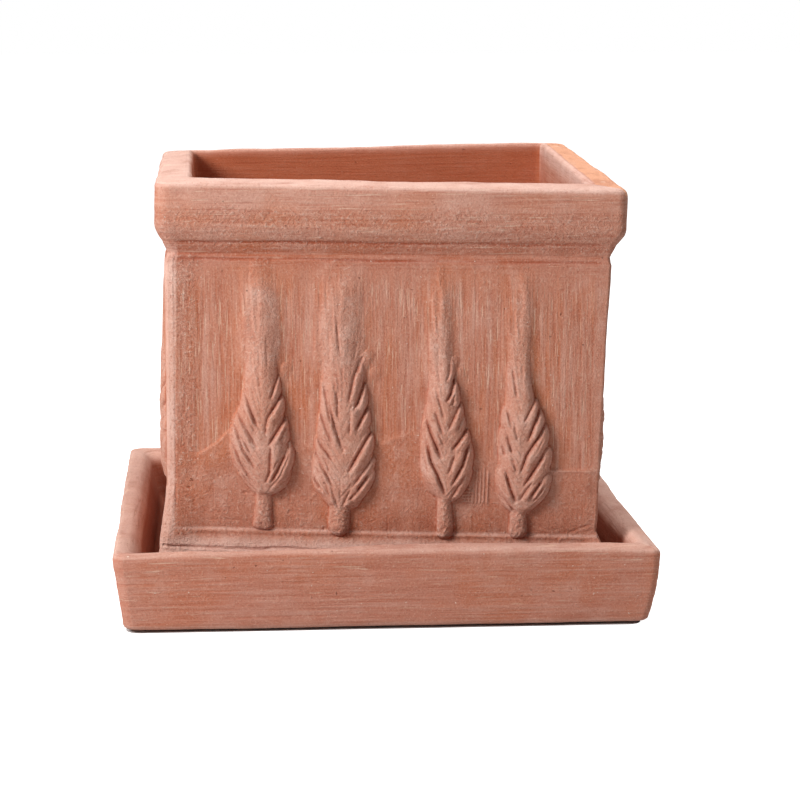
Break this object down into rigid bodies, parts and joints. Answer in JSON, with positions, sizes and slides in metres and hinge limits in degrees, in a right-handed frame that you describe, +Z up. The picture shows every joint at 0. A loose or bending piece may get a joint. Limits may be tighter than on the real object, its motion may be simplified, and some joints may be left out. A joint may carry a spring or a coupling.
{
  "type": "square terracotta planter with saucer",
  "caption": "Square hand-made terracotta planter with a banded rim and cypresses in relief on its walls, standing in a loose square saucer that it lifts out of.",
  "frame": {"origin": "middle of the saucer's underside, on the surface that it stands on", "axes": "+Z up, out of the pot's mouth; +Y away from the wall shown as the front; +X to the right of that wall"},
  "size_m": [0.291, 0.291, 0.239],
  "materials": {
    "pot_terracotta": "matte unglazed fired clay, brushed and pressed",
    "saucer_terracotta": "matte unglazed fired clay, brushed"
  },
  "bodies": {
    "saucer": {"saucer": "saucer_terracotta"},
    "pot": {"pot": "pot_terracotta"}
  },
  "joints": [
    {"name": "pot_lift", "type": "slide", "parent": "saucer", "child": "pot", "axis": [0, 0, 1], "range_m": [0, 0.06]}
  ]
}
